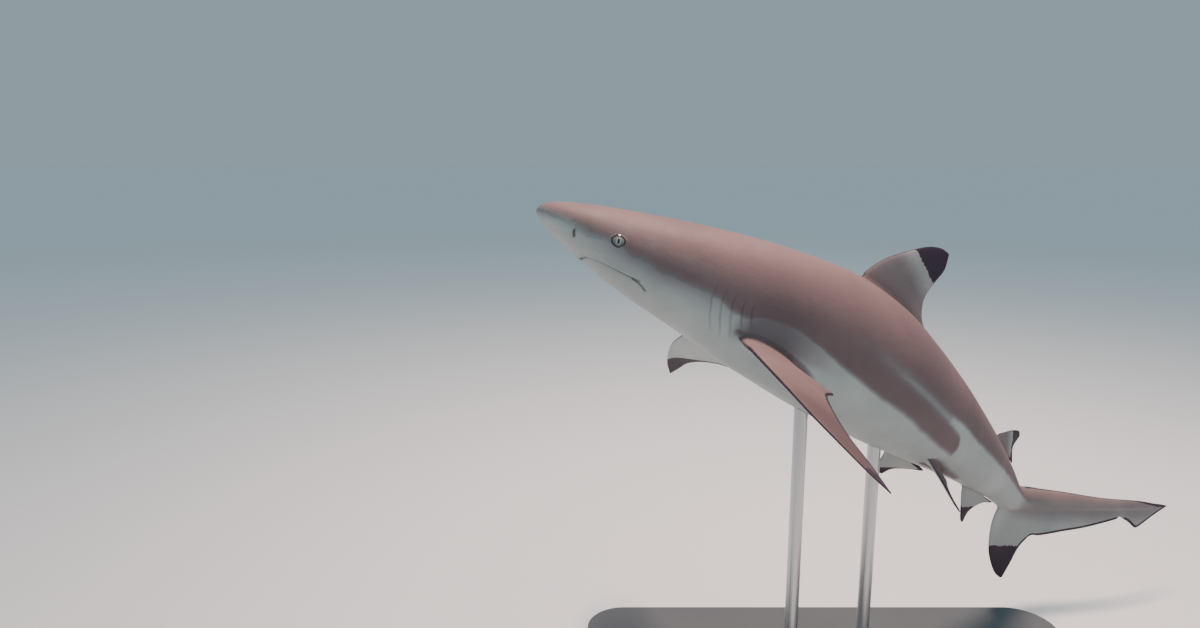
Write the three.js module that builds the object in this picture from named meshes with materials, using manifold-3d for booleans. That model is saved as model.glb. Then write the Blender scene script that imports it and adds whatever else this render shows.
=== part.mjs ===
// A life-size blacktip reef shark, banking as it climbs, held over a flat display base by two rods.
//
// The animal is laid out straight first: s runs from the snout tip to the tail tip, side is towards its
// right flank, up is towards its back. Proportions are hundredths of the total length, as in species keys.
// bend() then carries every point onto the curved backbone, and onto the stand, in millimetres with +Z up.
// The origin is the centre of the stand's underside.

import * as THREE from "three";
import { mergeVertices } from "three/addons/utils/BufferGeometryUtils.js";
import Module from "manifold-3d";

const wasm = await Module();
wasm.setup();

// ---- Driving dimensions ----------------------------------------------------------------------------

const TOTAL_LENGTH = 1300; // mm, snout tip to tail tip along the straightened animal
const MM = TOTAL_LENGTH / 100; // one hundredth of the total length, the unit of every proportion below
const CUT = 0.3; // mm, the thin gap between neighbouring pieces
const DEGREE = Math.PI / 180;

// How the animal is turned over the stand, in degrees, and where its snout tip is, in mm.
const HEAD_TURN = 2.7; // about the vertical, tail away from the viewer
const HEAD_CLIMB = 28.9; // nose up
const HEAD_BANK = -12.9; // back rolled away from the viewer, belly towards them
const SNOUT_AT = [-434, -49, 720];

// Backbone angles along s, in degrees, against the head's own frame.
const SWING = [[0, 0], [22, -1], [40, 22.5], [52, 24.2], [64, 30.7], [74, 35.6], [84, -1.4], [100, 16.2]];
const ARCH = [[0, 0], [22, -4.5], [42, 2.8], [64, 4.2], [76, 6.9], [100, 7]];
const TWIST = [[0, 0], [22, 3.4], [42, -10.5], [64, 4.8], [76, 2], [100, -2.3]];

// Body profiles along s.
const BACK = [
  [0, -0.6], [0.05, -0.34], [0.15, -0.12], [0.4, 0.16], [1.2, 0.78], [3, 1.6], [6, 2.7], [10, 3.9], [15, 5.15],
  [20, 6.1], [26, 6.9], [32, 7.5], [38, 7.6], [44, 7.0], [50, 6.0], [56, 4.7], [63, 3.4], [69.5, 2.5],
  [75, 1.9],
  [79, 3.3], [83.5, 5.4], [88.3, 7.6], [94.5, 10.8], [98.2, 12.3],
];
const BELLY = [
  [0, -0.6], [0.05, -0.84], [0.15, -1.0], [0.4, -1.2], [1.2, -1.62], [3, -2.2], [6, -3.0], [10, -3.98],
  [16, -5.0],
  [23, -6.4], [32, -7.2], [40, -6.8], [50, -5.4], [58, -4.1], [64, -3.2], [70, -2.4], [75, -1.9], [80, 0.1],
  [84, 2.9], [88.3, 5.6], [94.5, 9.4], [98.2, 11.7],
];
const HALF_WIDTH = [
  [0, 0], [0.05, 0.47], [0.15, 0.82], [0.4, 1.34], [1.2, 2.3], [3, 3.4], [6, 4.35], [10, 5.05],
  [16, 5.6], [23, 5.9],
  [32, 6.0], [40, 5.6], [50, 4.3], [58, 3.2], [64, 2.5], [70, 1.8], [75, 1.5], [80, 1.15], [87, 0.7], [93, 0.4],
  [98.2, 0.15],
];
const WIDEST_AT = [
  [0, -0.6], [3, -0.7], [10, -0.8], [23, -0.6], [40, -0.3], [75, 0.1], [80, 1.7], [87, 5.4],
  [98.2, 11.9],
];
const BACK_SQUARE = [[0, 2], [6, 2.1], [23, 2.1], [40, 2.0], [75, 2.0], [98, 2]];
const BELLY_SQUARE = [[0, 2], [6, 2.5], [16, 2.4], [40, 2.3], [60, 2.1], [75, 2], [98, 2]];

// ---- Curves ----------------------------------------------------------------------------------------

// A smooth curve through [at, value] pairs that never overshoots them.
function through(points) {
  const x = points.map((p) => p[0]);
  const y = points.map((p) => p[1]);
  const last = x.length - 1;
  const secant = x.slice(1).map((v, i) => (y[i + 1] - y[i]) / (v - x[i]));
  const slope = x.map((_, i) => {
    if (i === 0) return secant[0];
    if (i === last) return secant[last - 1];
    const [a, b] = [secant[i - 1], secant[i]];
    if (a * b <= 0) return 0;
    const [wide, near] = [x[i + 1] - x[i], x[i] - x[i - 1]];
    return (3 * (wide + near)) / ((2 * wide + near) / a + (wide + 2 * near) / b);
  });
  return (at) => {
    const t0 = Math.min(Math.max(at, x[0]), x[last]);
    let i = 0;
    while (i < last - 1 && t0 > x[i + 1]) i += 1;
    const h = x[i + 1] - x[i];
    const t = (t0 - x[i]) / h;
    return (
      y[i] * (1 + 2 * t) * (1 - t) ** 2 +
      slope[i] * h * t * (1 - t) ** 2 +
      y[i + 1] * t * t * (3 - 2 * t) +
      slope[i + 1] * h * t * t * (t - 1)
    );
  };
}

const [swing, arch, twist] = [SWING, ARCH, TWIST].map(through);
const [back, belly, halfWidth, widestAt] = [BACK, BELLY, HALF_WIDTH, WIDEST_AT].map(through);
const [backSquare, bellySquare] = [BACK_SQUARE, BELLY_SQUARE].map(through);
const { lerp, smoothstep } = THREE.MathUtils;

// The axes of a body turned by these angles: towards the tail, the right flank and the back.
function axes(turn, climb, bank) {
  const turned = new THREE.Euler(bank * DEGREE, climb * DEGREE, turn * DEGREE, "ZYX");
  return new THREE.Matrix4().makeRotationFromEuler(turned);
}

// ---- The backbone ----------------------------------------------------------------------------------

const SPINE_STEP = 0.25;
const head = axes(HEAD_TURN, HEAD_CLIMB, HEAD_BANK);
const spine = [];
for (let s = 0, at = new THREE.Vector3(...SNOUT_AT); s <= 100; s += SPINE_STEP) {
  const turned = head.clone().multiply(axes(swing(s), arch(s), twist(s)));
  const [tail, side, up] = [new THREE.Vector3(), new THREE.Vector3(), new THREE.Vector3()];
  turned.extractBasis(tail, side, up);
  if (s > 0) at = at.clone().addScaledVector(tail.clone().add(spine.at(-1).tail), (SPINE_STEP * MM) / 2);
  spine.push({ at, tail, side, up });
}

function frameAt(s) {
  const place = Math.min(Math.max(s / SPINE_STEP, 0), spine.length - 1.001);
  const [i, t] = [Math.floor(place), place % 1];
  const mix = (key) => spine[i][key].clone().lerp(spine[i + 1][key], t);
  return { at: mix("at"), tail: mix("tail"), side: mix("side"), up: mix("up") };
}

// A point follows the backbone at its own station. A paired fin keeps its own flat shape instead: past the
// flank it follows the backbone only where its hub is.
function bend([s, side, up], hub = s) {
  const flank = halfWidth(s);
  const followed = lerp(s, hub, smoothstep(Math.abs(side), flank, flank + 3));
  const f = frameAt(followed);
  return f.at
    .addScaledVector(f.tail, (s - followed) * MM)
    .addScaledVector(f.side, side * MM)
    .addScaledVector(f.up, up * MM);
}

// ---- Solids ----------------------------------------------------------------------------------------

// A closed body from points and triangles, turned inside out where its faces point inwards.
function facingOut(positions, indices) {
  const vertProperties = new Float32Array(positions);
  const triVerts = new Uint32Array(indices);
  const made = new wasm.Manifold(new wasm.Mesh({ numProp: 3, vertProperties, triVerts }));
  if (made.volume() > 0) return made;
  return new wasm.Manifold(new wasm.Mesh({ numProp: 3, vertProperties, triVerts: triVerts.reverse() }));
}

// Joins rings of the same number of points into one closed body, each end closed by a fan from its middle.
function loft(rings) {
  const n = rings[0].length;
  const positions = rings.flat().flatMap((p) => p.toArray());
  const indices = [];
  for (let r = 0; r + 1 < rings.length; r += 1)
    for (let i = 0; i < n; i += 1) {
      const [a, b] = [r * n + i, r * n + ((i + 1) % n)];
      indices.push(a, b, a + n, b, b + n, a + n);
    }
  for (const [r, flip] of [[0, true], [rings.length - 1, false]]) {
    const middle = new THREE.Vector3();
    rings[r].forEach((p) => middle.addScaledVector(p, 1 / n));
    const centre = positions.length / 3;
    positions.push(...middle.toArray());
    for (let i = 0; i < n; i += 1) {
      const [a, b] = [r * n + i, r * n + ((i + 1) % n)];
      indices.push(...(flip ? [b, a, centre] : [a, b, centre]));
    }
  }
  return facingOut(positions, indices);
}

function fromGeometry(geometry) {
  const bare = geometry.clone();
  for (const name of ["normal", "uv"]) bare.deleteAttribute(name);
  const merged = mergeVertices(bare, 1e-3);
  return facingOut(merged.attributes.position.array, merged.index.array);
}

// ---- Body ------------------------------------------------------------------------------------------

const RING_POINTS = 26;
function ringAt(s, grow) {
  const points = [];
  for (let i = 0; i < RING_POINTS; i += 1) {
    const angle = (i / RING_POINTS) * 2 * Math.PI;
    const [c, n] = [Math.cos(angle), Math.sin(angle)];
    const power = 2 / (n >= 0 ? backSquare(s) : bellySquare(s));
    const side = (halfWidth(s) + grow) * Math.sign(c) * Math.abs(c) ** power;
    const reach = n >= 0 ? back(s) + grow - widestAt(s) : widestAt(s) - belly(s) + grow;
    points.push(bend([s, side, widestAt(s) + reach * Math.sign(n) * Math.abs(n) ** power]));
  }
  return points;
}

const STATIONS = [
  0.04, 0.25, 0.8, 1.6, 2.8, 4.5, 6.5, 8.8, 11.5, 14.5, 17.5, 20.5, 23.5, 26.5, 30, 33.5, 37, 40.5, 44, 47.5,
  51, 54.5, 58, 61, 64, 67, 69.5, 72, 74, 76, 77.5, 79, 80.5, 82, 84, 86.5, 89.5, 93, 96, 98.2,
];
const wholeBody = (grow) => loft(STATIONS.map((s) => ringAt(s, grow / MM)));
const body = wholeBody(0);
const clearOfBody = wholeBody(CUT);

// The part of a solid between two stations of the backbone, half a cut in from each.
function between(solid, from, to) {
  const [a, b] = [frameAt(from), frameAt(to)];
  return solid
    .trimByPlane(a.tail.toArray(), a.at.dot(a.tail) + CUT / 2)
    .trimByPlane(b.tail.clone().negate().toArray(), -(b.at.dot(b.tail) - CUT / 2));
}

// ---- Fins ------------------------------------------------------------------------------------------

// A fin is a skin of foil sections ruled between its leading and trailing edges, both run from root to tip
// as [along, out] points. thick is the greatest thickness at the root and near the tip.
const EDGE = 0.4 / MM; // half the thickness of a fin's thin edge
const CHORD_STEPS = [0, 0.06, 0.16, 0.3, 0.5, 0.75, 1];
function finRings({ lead, trail, thick, steps, place, hub }) {
  const curve = (points) => {
    const through3d = points.map(([x, y]) => new THREE.Vector3(x, y, 0));
    return new THREE.CatmullRomCurve3(through3d, false, "centripetal");
  };
  const [front, rear] = [curve(lead), curve(trail)];
  const rings = [];
  for (let i = 0; i <= steps; i += 1) {
    const u = i / steps;
    const [a, b] = [front.getPointAt(u), rear.getPointAt(u)];
    const greatest = lerp(thick[0], thick[1], u) * Math.min(1, Math.sqrt(1.02 - u));
    const half = (c) => EDGE + (greatest / 2) * Math.max(0, 2.6 * Math.sqrt(c) - 1.1 * c - 1.5 * c * c);
    const row = (sign) =>
      CHORD_STEPS.map((c) => {
        const p = a.clone().lerp(b, c);
        return bend(place(p.x, p.y, sign * half(c), u), hub);
      });
    rings.push([...row(1), ...row(-1).reverse()]);
  }
  return rings;
}
const fin = (shape) => loft(finRings(shape)).subtract(clearOfBody);

const upright = (x, out, across) => [x, across, out];
const FIRST_DORSAL = {
  lead: [
    [32, 4.5], [32.6, 8.2], [34.4, 10.9], [36.3, 12.7], [38.4, 14.5], [40.9, 16.4], [42.8, 17.3],
    [43.9, 17.4],
  ],
  trail: [
    [42.4, 4.5], [43, 6.6], [46.6, 6.7], [45, 7.6], [43.4, 8.8], [42.7, 10.6], [43.3, 13], [44.2, 15.4],
    [44.1, 17.2],
  ],
  thick: [1.5, 0.5],
  steps: 13,
  place: upright,
};
const SECOND_DORSAL = {
  lead: [[62.2, 2], [62.9, 3.8], [64, 4.7], [65.7, 5.8], [67.1, 6.3], [67.7, 6.1]],
  trail: [[66.6, 2], [67, 2.9], [70.2, 3], [68.8, 3.6], [67.9, 4.4], [67.9, 5.9]],
  thick: [0.8, 0.35],
  steps: 10,
  place: upright,
};
const ANAL = {
  lead: [[61.6, -1.6], [62.4, -3.6], [63.9, -4.9], [65.4, -6.1], [66.4, -6.8], [66.9, -6.9]],
  trail: [[66.8, -1.4], [67.4, -2.5], [71.2, -2.4], [69.2, -3.2], [67.6, -4.4], [66.9, -5.6], [67.1, -6.7]],
  thick: [0.8, 0.35],
  steps: 10,
  place: upright,
};

// A paired fin is drawn flat, along towards the tail and out from its root, then drooped, pitched and set on
// the flank. mirror is 1 on the right side and -1 on the left.
function paired({ root, droop, incidence, sweep, curl, scale }, mirror) {
  const [tilt, pitch, back] = [droop, incidence, sweep].map((angle) => angle * DEGREE);
  return (x, out, across, u) => {
    const reach = scale * (out * Math.cos(back) - x * Math.sin(back));
    const chord = scale * (x * Math.cos(back) + out * Math.sin(back));
    const along = chord * Math.cos(pitch) + across * Math.sin(pitch);
    const lift = across * Math.cos(pitch) - chord * Math.sin(pitch) - curl * u * u;
    const side = reach * Math.cos(tilt) + lift * Math.sin(tilt);
    const up = lift * Math.cos(tilt) - reach * Math.sin(tilt);
    return [root[0] + along, mirror * (root[1] + side), root[2] + up];
  };
}
const PECTORAL = {
  lead: [[-0.2, -3], [0.7, 0.6], [2.2, 4.9], [4.1, 8.8], [6.2, 12.4], [8.5, 15.3], [10.4, 17.2], [11.9, 18.1]],
  trail: [[5.4, -3], [5.6, 0.6], [8.7, 2.4], [8.1, 4.4], [8.4, 8.4], [9.4, 12.4], [10.8, 15.4], [11.9, 17.9]],
  thick: [1.5, 0.45],
  steps: 14,
  hub: 24.5,
};
const PECTORAL_SET = {
  left: { root: [21, 5.05, -3.6], droop: 9.7, incidence: 2.6, sweep: -15.4, curl: 2.6, scale: 1.12 },
  right: { root: [21, 5.05, -3.6], droop: 2, incidence: 14.4, sweep: -23, curl: 4, scale: 1.12 },
};
const PELVIC = {
  lead: [[-0.4, -2], [0.3, 0.4], [1.6, 2.6], [3.2, 5], [4.4, 6.1], [5.1, 6.1]],
  trail: [[4.4, -2], [4.7, 0.3], [8.2, 1.4], [6.7, 2.6], [5.4, 4.2], [5.2, 5.9]],
  thick: [0.9, 0.35],
  steps: 9,
  hub: 51,
};
const PELVIC_SET = {
  left: { root: [48.2, 2.2, -4.5], droop: 37.5, incidence: 4, sweep: 14, curl: 0.45, scale: 0.95 },
  right: { root: [48.2, 2.2, -4.5], droop: 29, incidence: 6, sweep: 15, curl: 0.1, scale: 0.85 },
};

// The tail fin: the backbone's ridge runs along the upper lobe, with the webs below it.
const UPPER_WEB = {
  lead: [[75.4, 0.6], [78, 2.2], [84, 4.8], [92.6, 9.1]],
  trail: [[75.6, -1.4], [80.9, -2.8], [86.8, 1.5], [92.4, 6.75]],
  thick: [0.9, 0.5],
  steps: 10,
  place: upright,
};
const TERMINAL_WEB = {
  lead: [[91.4, 8.2], [94.4, 10.4], [96.8, 11.7], [99.1, 12.7], [99.9, 12.95]],
  trail: [[91.6, 7.1], [92.6, 7.15], [94.2, 7.35], [95.9, 7.35], [96.3, 7.75], [98, 10.4], [99.8, 12.75]],
  thick: [0.5, 0.3],
  steps: 8,
  place: upright,
};
const LOWER_WEB = {
  lead: [[73.4, 0], [74.1, -3.6], [77, -6.5], [79.5, -8.1], [81, -8.8], [82, -8.9]],
  trail: [
    [86.4, 2.1], [84.4, 0.1], [83.3, -1.1], [82.55, -2.2], [82.1, -3.3], [81.95, -4.6], [82.1, -6.4],
    [82.2, -8.7],
  ],
  thick: [0.9, 0.4],
  steps: 12,
  place: upright,
};

// ---- Assembly --------------------------------------------------------------------------------------

const shark = new THREE.Group();
function add(name, solid, colour, roughness = 0.45, metalness = 0) {
  const { vertProperties, triVerts, numProp, numVert } = solid.getMesh();
  const points = new Float32Array(numVert * 3);
  for (let i = 0; i < numVert; i += 1) points.set(vertProperties.subarray(i * numProp, i * numProp + 3), i * 3);
  const geometry = new THREE.BufferGeometry()
    .setAttribute("position", new THREE.BufferAttribute(points, 3))
    .setIndex(new THREE.BufferAttribute(triVerts, 1));
  geometry.computeVertexNormals();
  const material = new THREE.MeshStandardMaterial({ color: colour, roughness, metalness });
  const mesh = new THREE.Mesh(geometry, material);
  mesh.name = name;
  shark.add(mesh);
}
const largest = (solid) => solid.decompose().reduce((a, b) => (b.volume() > a.volume() ? b : a));
const BROWN = 0x75635f;
const PALE = 0xb9bab4;

// The lower jaw: an arch seen from below, its upper face along the mouth line.
const JAW = { front: 5.8, corner: 11.2, halfSpan: 4.5, back: 14.4, top: -2.75 };
function jawBlock(grow) {
  const half = [0, 1.5, 2.6, 3.4, 3.95, 4.3, 4.6, 4.85].map((across) => {
    const s = JAW.front + (JAW.corner - JAW.front) * (across / JAW.halfSpan) ** 4;
    return [s - grow, across];
  });
  half.push([JAW.back + grow, 5.4]);
  const outline = half.slice(1).reverse().map(([s, across]) => [s, -across]).concat(half);
  return loft([-9, JAW.top + grow].map((up) => outline.map(([s, side]) => bend([s, side, up]))));
}

// An eyeball: the slope of the cheek carries its outer face forward and down.
const EYE = { at: [7.8, 4.4, -0.4], half: [0.8, 0.5, 0.74], slant: 0.17, lean: -0.08 };
function eyeBall(mirror, grow) {
  const ball = new THREE.SphereGeometry(1, 18, 12);
  const points = ball.attributes.position;
  for (let i = 0; i < points.count; i += 1) {
    const [x, y, z] = [points.getX(i), points.getY(i), points.getZ(i)];
    const [ds, out, dup] = [x * (EYE.half[0] + grow), z * (EYE.half[1] + grow), y * (EYE.half[2] + grow)];
    const side = EYE.at[1] + out + EYE.slant * ds + EYE.lean * dup;
    points.setXYZ(i, ...bend([EYE.at[0] + ds, mirror * side, EYE.at[2] + dup]).toArray());
  }
  return fromGeometry(ball);
}

const HEAD_END = 16.6;
const headBlock = between(body, -4, HEAD_END);
const gap = CUT / MM;
const skull = headBlock.subtract(jawBlock(gap)).subtract(eyeBall(1, gap)).subtract(eyeBall(-1, gap));
add("head", largest(skull), BROWN);
add("lower_jaw", largest(headBlock.intersect(jawBlock(0))), PALE);
add("eye_left", eyeBall(-1, 0), 0x8f938c, 0.15);
add("eye_right", eyeBall(1, 0), 0x8f938c, 0.15);

const SEGMENTS = [
  ["gill_region", HEAD_END, 24.6],
  ["trunk_front", 24.6, 37],
  ["trunk_middle", 37, 49.5],
  ["trunk_rear", 49.5, 62],
  ["tail_stalk", 62, 75.8],
];
for (const [name, from, to] of SEGMENTS) add(name, between(body, from, to), BROWN);

add("first_dorsal_fin", largest(fin(FIRST_DORSAL)), BROWN);
add("second_dorsal_fin", largest(fin(SECOND_DORSAL)), BROWN);
add("anal_fin", largest(fin(ANAL)), PALE);
for (const [side, mirror] of [["left", -1], ["right", 1]]) {
  const pectoral = { ...PECTORAL, place: paired(PECTORAL_SET[side], mirror) };
  const pelvic = { ...PELVIC, place: paired(PELVIC_SET[side], mirror) };
  add(`pectoral_fin_${side}`, largest(fin(pectoral)), BROWN);
  add(`pelvic_fin_${side}`, largest(fin(pelvic)), PALE);
}

const TAIL_FROM = 75.8;
const tailFin = [UPPER_WEB, TERMINAL_WEB, LOWER_WEB].reduce((sum, web) => sum.add(loft(finRings(web))), body);
const tailFrame = frameAt(TAIL_FROM);
const tailOnly = tailFin.trimByPlane(tailFrame.tail.toArray(), tailFrame.at.dot(tailFrame.tail) + CUT / 2);
// A thin cut across the tail fin through the point [s, up], square to the direction [ds, dup].
function tailCut(solid, [s, up], [ds, dup], keepFar) {
  const f = frameAt(s);
  const normal = f.tail.clone().multiplyScalar(ds).addScaledVector(f.up, dup).normalize();
  const through = bend([s, 0, up]).dot(normal);
  return keepFar
    ? solid.trimByPlane(normal.toArray(), through + CUT / 2)
    : solid.trimByPlane(normal.clone().negate().toArray(), -(through - CUT / 2));
}
const NOTCH = [[92.2, 7], [0.75, 0.35]];
const LOBE_ROOT = [[78.5, -1.75], [0.05, 1]];
const upperAll = tailCut(tailOnly, ...LOBE_ROOT, true);
add("caudal_lower_lobe", largest(tailCut(tailOnly, ...LOBE_ROOT, false)), PALE);
add("caudal_upper_lobe", largest(tailCut(upperAll, ...NOTCH, false)), BROWN);
add("caudal_terminal_lobe", largest(tailCut(upperAll, ...NOTCH, true)), BROWN);

// ---- Stand -----------------------------------------------------------------------------------------

const BASE = { length: 760, width: 440, thick: 22, corner: 60 };
const ROD = { radius: 9, flange: 34, flangeHigh: 8 };
const ROD_STATIONS = { front: 29, rear: 40 };

const plan = new THREE.Shape();
const [hx, hy, c] = [BASE.length / 2, BASE.width / 2, BASE.corner];
plan.moveTo(-hx + c, -hy).lineTo(hx - c, -hy).absarc(hx - c, -hy + c, c, -Math.PI / 2, 0);
plan.lineTo(hx, hy - c).absarc(hx - c, hy - c, c, 0, Math.PI / 2);
plan.lineTo(-hx + c, hy).absarc(-hx + c, hy - c, c, Math.PI / 2, Math.PI);
plan.lineTo(-hx, -hy + c).absarc(-hx + c, -hy + c, c, Math.PI, 1.5 * Math.PI);
const plate = new THREE.ExtrudeGeometry(plan, { depth: BASE.thick, bevelEnabled: false, curveSegments: 8 });
add("stand_base", fromGeometry(plate), 0x2b2b2d, 0.5);

for (const [name, s] of Object.entries(ROD_STATIONS)) {
  const foot = bend([s, 0, 0]);
  const high = foot.z;
  const profile = [
    [0, 0], [ROD.flange, 0], [ROD.flange, ROD.flangeHigh * 0.6], [ROD.flange * 0.5, ROD.flangeHigh],
    [ROD.radius, ROD.flangeHigh + 6], [ROD.radius, high - BASE.thick], [0, high - BASE.thick],
  ].map(([r, z]) => new THREE.Vector2(r, z));
  const standing = new THREE.LatheGeometry(profile, 24).rotateX(Math.PI / 2);
  const turned = standing.translate(foot.x, foot.y, BASE.thick);
  add(`stand_rod_${name}`, largest(fromGeometry(turned).subtract(clearOfBody)), 0x9a9da0, 0.3, 0.9);
}

export default shark;
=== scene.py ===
import math

import bmesh
import bpy
import numpy as np
from mathutils import Euler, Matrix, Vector, kdtree


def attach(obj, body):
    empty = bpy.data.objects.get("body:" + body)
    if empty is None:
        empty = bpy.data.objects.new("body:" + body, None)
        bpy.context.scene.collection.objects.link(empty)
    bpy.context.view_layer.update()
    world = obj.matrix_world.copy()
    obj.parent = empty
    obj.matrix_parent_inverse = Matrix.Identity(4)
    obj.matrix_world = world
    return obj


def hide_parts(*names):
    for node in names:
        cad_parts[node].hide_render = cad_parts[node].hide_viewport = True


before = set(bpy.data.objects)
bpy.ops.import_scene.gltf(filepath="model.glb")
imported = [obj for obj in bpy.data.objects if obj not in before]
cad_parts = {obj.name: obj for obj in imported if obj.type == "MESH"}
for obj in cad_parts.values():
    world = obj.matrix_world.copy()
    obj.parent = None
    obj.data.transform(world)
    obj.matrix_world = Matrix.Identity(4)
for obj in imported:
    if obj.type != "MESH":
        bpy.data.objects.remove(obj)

scene = bpy.context.scene
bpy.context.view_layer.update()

# ---- The viewpoint ----------------------------------------------------------------------------------
# A wide lens a metre from the flank, a little above the head's height and tipped slightly down, so the
# belly shows as the shark banks over the stand.

tipped_down = 11
lens = bpy.data.cameras.new("viewpoint")
lens.sensor_width, lens.lens = 36.0, 25.5
camera = bpy.data.objects.new("viewpoint", lens)
camera.location = (-0.360, -1.100, 0.785)
camera.rotation_euler = (math.radians(90 - tipped_down), 0, 0)
scene.collection.objects.link(camera)
scene.camera = camera

# ---- The skin: the body ------------------------------------------------------------------------------
# One unbroken skin covers head, trunk, tail and every fin, over the flesh that carries it. The body is laid
# out straight first, in hundredths of the total length: s from the snout, side to the right, up to the back.
# bend() then carries it on to the curved backbone over the stand.

UNIT = 0.0130
BODY_END = 98.2
SNOUT_AT = np.array([-0.434, -0.049, 0.720])
HEAD_TURNS = (2.7, 28.9, -12.9)

# How far the backbone has swung, arched and twisted from the head's line, in degrees.
SWING = [[0, 0], [22, -1], [40, 22.5], [52, 24.2], [64, 30.7], [74, 35.6], [84, -1.4], [100, 16.2]]
ARCH = [[0, 0], [22, -4.5], [42, 2.8], [64, 4.2], [76, 6.9], [100, 7]]
TWIST = [[0, 0], [22, 3.4], [42, -10.5], [64, 4.8], [76, 2], [100, -2.3]]

# The body's outlines, each as pairs of s and the size there, and how square its section is.
BACK = [
    [0, -0.6], [0.05, -0.34], [0.15, -0.12], [0.4, 0.16], [1.2, 0.78], [3, 1.6], [6, 2.7], [10, 3.9],
    [15, 5.15], [20, 6.1], [26, 6.9], [32, 7.5], [38, 7.6], [44, 7.0], [50, 6.0], [56, 4.7], [63, 3.4],
    [69.5, 2.5], [75, 1.9], [79, 3.3], [83.5, 5.4], [88.3, 7.6], [94.5, 10.8], [BODY_END, 12.3],
]
BELLY = [
    [0, -0.6], [0.05, -0.84], [0.15, -1.0], [0.4, -1.2], [1.2, -1.62], [3, -2.2], [6, -3.0], [10, -3.98],
    [16, -5.0], [23, -6.4], [32, -7.2], [40, -6.8], [50, -5.4], [58, -4.1], [64, -3.2], [70, -2.4],
    [75, -1.9], [80, 0.1], [84, 2.9], [88.3, 5.6], [94.5, 9.4], [BODY_END, 11.7],
]
HALF_WIDTH = [
    [0, 0], [0.05, 0.47], [0.15, 0.82], [0.4, 1.34], [1.2, 2.3], [3, 3.4], [6, 4.35], [10, 5.05],
    [16, 5.6], [23, 5.9], [32, 6.0], [40, 5.6], [50, 4.3], [58, 3.2], [64, 2.5], [70, 1.8], [75, 1.5],
    [80, 1.15], [87, 0.7], [93, 0.4], [BODY_END, 0.15],
]
WIDEST_AT = [
    [0, -0.6], [3, -0.7], [10, -0.8], [23, -0.6], [40, -0.3], [75, 0.1], [80, 1.7], [87, 5.4],
    [BODY_END, 11.9],
]
BACK_SQUARE = [[0, 2], [6, 2.1], [23, 2.1], [40, 2.0], [75, 2.0], [98, 2]]
BELLY_SQUARE = [[0, 2], [6, 2.5], [16, 2.4], [40, 2.3], [60, 2.1], [75, 2], [98, 2]]


def through(points):
    """A smooth curve through [at, value] pairs that never overshoots them."""
    at, value = np.array(points, float).T
    gap = np.diff(at)
    secant = np.diff(value) / gap
    slope = np.concatenate([secant[:1], np.zeros(len(at) - 2), secant[-1:]])
    for i in range(1, len(at) - 1):
        a, b = secant[i - 1], secant[i]
        if a * b > 0:
            wide, near = gap[i], gap[i - 1]
            slope[i] = 3 * (wide + near) / ((2 * wide + near) / a + (wide + 2 * near) / b)

    def curve(q):
        q = np.clip(q, at[0], at[-1])
        i = np.clip(np.searchsorted(at, q) - 1, 0, len(gap) - 1)
        t = (q - at[i]) / gap[i]
        return (
            value[i] * (1 + 2 * t) * (1 - t) ** 2
            + slope[i] * gap[i] * t * (1 - t) ** 2
            + value[i + 1] * t * t * (3 - 2 * t)
            + slope[i + 1] * gap[i] * t * t * (t - 1)
        )

    return curve


swing, arch, twist = map(through, (SWING, ARCH, TWIST))
back, belly, half_width, widest_at = map(through, (BACK, BELLY, HALF_WIDTH, WIDEST_AT))
back_square, belly_square = map(through, (BACK_SQUARE, BELLY_SQUARE))


def axes(turn, climb, bank):
    """Columns towards the tail, the right flank and the back, for angles in degrees."""
    turn, climb, bank = (math.radians(float(angle)) for angle in (turn, climb, bank))
    return np.array(Euler((bank, climb, turn), "XYZ").to_matrix())


SPINE_STEP = 0.25
SPINE_S = np.arange(0, 100.01, SPINE_STEP)
head_axes = axes(*HEAD_TURNS)
spine_axes = np.array([head_axes @ axes(swing(s), arch(s), twist(s)) for s in SPINE_S])
steps = (spine_axes[1:, :, 0] + spine_axes[:-1, :, 0]) / 2 * SPINE_STEP * UNIT
spine_at = SNOUT_AT + np.vstack([np.zeros(3), np.cumsum(steps, axis=0)])


def spine_frame(s):
    """Where the backbone is at s, and its three axes."""
    place = np.clip(np.asarray(s, float) / SPINE_STEP, 0, len(SPINE_S) - 1.001)
    i = place.astype(int)
    t = (place - i)[..., None]
    at = spine_at[i] * (1 - t) + spine_at[i + 1] * t
    t = t[..., None]
    return at, spine_axes[i] * (1 - t) + spine_axes[i + 1] * t


def ease(q, low, high):
    """0 up to low, 1 from high on, and a smooth rise between them."""
    t = np.clip((q - low) / (high - low), 0, 1)
    return t * t * (3 - 2 * t)


def bend(straight, hub=None):
    """Straight points to their place. Past the flank a paired fin follows the backbone only at its hub."""
    straight = np.asarray(straight, float)
    s, side, up = straight.T
    followed = s
    if hub is not None:
        flank, stiff_within = half_width(s), 3
        stiff = ease(np.abs(side), flank, flank + stiff_within)
        followed = s + (hub - s) * stiff
    at, turned = spine_frame(followed)
    local = np.stack([s - followed, side, up], -1) * UNIT
    return at + np.einsum("nij,nj->ni", turned, local)


def section(s, angle):
    """A point of the straight body's surface, round from the right flank over the back."""
    c, n = np.cos(angle), np.sin(angle)
    power = 2 / np.where(n >= 0, back_square(s), belly_square(s))
    middle = widest_at(s)
    reach = np.where(n >= 0, back(s) - middle, middle - belly(s))
    side = half_width(s) * np.sign(c) * np.abs(c) ** power
    return np.stack([s, side, middle + reach * np.sign(n) * np.abs(n) ** power], -1)


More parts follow.
